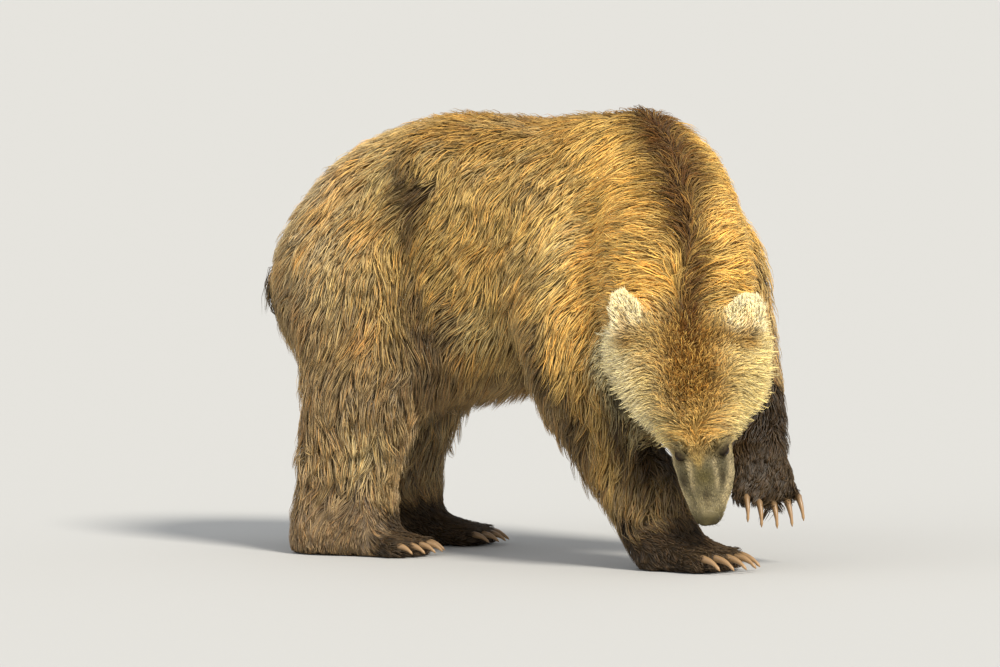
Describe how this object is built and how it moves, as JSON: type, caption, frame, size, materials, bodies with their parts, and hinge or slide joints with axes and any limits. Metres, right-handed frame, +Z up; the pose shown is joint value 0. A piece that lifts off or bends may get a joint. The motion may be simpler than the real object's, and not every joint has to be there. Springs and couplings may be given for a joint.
{
  "type": "grizzly bear",
  "caption": "Life-size standing grizzly bear with its head lowered and turned to its right and one forepaw raised, as a still museum model.",
  "frame": {"origin": "the middle of the bear's outline on the floor, at floor level", "axes": "+X forward along the hindquarters, +Y to the bear's left, +Z up"},
  "size_m": [1.4468, 0.8584, 1.0498],
  "materials": {
    "claw_fore_left_1": "horn, worn smooth",
    "claw_fore_left_2": "horn, worn smooth",
    "claw_fore_left_3": "horn, worn smooth",
    "claw_fore_left_4": "horn, worn smooth",
    "claw_fore_left_5": "horn, worn smooth",
    "claw_fore_right_1": "horn, worn smooth",
    "claw_fore_right_2": "horn, worn smooth",
    "claw_fore_right_3": "horn, worn smooth",
    "claw_fore_right_4": "horn, worn smooth",
    "claw_fore_right_5": "horn, worn smooth",
    "claw_hind_left_1": "horn, worn smooth",
    "claw_hind_left_2": "horn, worn smooth",
    "claw_hind_left_3": "horn, worn smooth",
    "claw_hind_left_4": "horn, worn smooth",
    "claw_hind_left_5": "horn, worn smooth",
    "claw_hind_right_1": "horn, worn smooth",
    "claw_hind_right_2": "horn, worn smooth",
    "claw_hind_right_3": "horn, worn smooth",
    "claw_hind_right_4": "horn, worn smooth",
    "claw_hind_right_5": "horn, worn smooth",
    "ear_left": "short dense fur",
    "ear_right": "short dense fur",
    "eye_left": "wet dark eye",
    "eye_right": "wet dark eye",
    "fore_left_forearm": "wet shaggy fur",
    "fore_left_paw": "wet shaggy fur",
    "fore_left_upper_arm": "long shaggy fur",
    "fore_right_forearm": "wet shaggy fur",
    "fore_right_paw": "wet shaggy fur",
    "fore_right_upper_arm": "long shaggy fur",
    "head": "dense fur",
    "hind_left_foot": "wet shaggy fur",
    "hind_left_shank": "wet shaggy fur",
    "hind_left_thigh": "long shaggy fur",
    "hind_right_foot": "wet shaggy fur",
    "hind_right_shank": "wet shaggy fur",
    "hind_right_thigh": "long shaggy fur",
    "lower_jaw": "short fur",
    "neck": "long shaggy fur",
    "nose": "bare moist leather",
    "tail": "long shaggy fur",
    "trunk": "long shaggy fur"
  },
  "bodies": {
    "root": {"claw_fore_left_1": "claw_fore_left_1", "claw_fore_left_2": "claw_fore_left_2", "claw_fore_left_3": "claw_fore_left_3", "claw_fore_left_4": "claw_fore_left_4", "claw_fore_left_5": "claw_fore_left_5", "claw_fore_right_1": "claw_fore_right_1", "claw_fore_right_2": "claw_fore_right_2", "claw_fore_right_3": "claw_fore_right_3", "claw_fore_right_4": "claw_fore_right_4", "claw_fore_right_5": "claw_fore_right_5", "claw_hind_left_1": "claw_hind_left_1", "claw_hind_left_2": "claw_hind_left_2", "claw_hind_left_3": "claw_hind_left_3", "claw_hind_left_4": "claw_hind_left_4", "claw_hind_left_5": "claw_hind_left_5", "claw_hind_right_1": "claw_hind_right_1", "claw_hind_right_2": "claw_hind_right_2", "claw_hind_right_3": "claw_hind_right_3", "claw_hind_right_4": "claw_hind_right_4", "claw_hind_right_5": "claw_hind_right_5", "ear_left": "ear_left", "ear_right": "ear_right", "eye_left": "eye_left", "eye_right": "eye_right", "fore_left_forearm": "fore_left_forearm", "fore_left_paw": "fore_left_paw", "fore_left_upper_arm": "fore_left_upper_arm", "fore_right_forearm": "fore_right_forearm", "fore_right_paw": "fore_right_paw", "fore_right_upper_arm": "fore_right_upper_arm", "head": "head", "hind_left_foot": "hind_left_foot", "hind_left_shank": "hind_left_shank", "hind_left_thigh": "hind_left_thigh", "hind_right_foot": "hind_right_foot", "hind_right_shank": "hind_right_shank", "hind_right_thigh": "hind_right_thigh", "lower_jaw": "lower_jaw", "neck": "neck", "nose": "nose", "tail": "tail", "trunk": "trunk"}
  },
  "joints": []
}
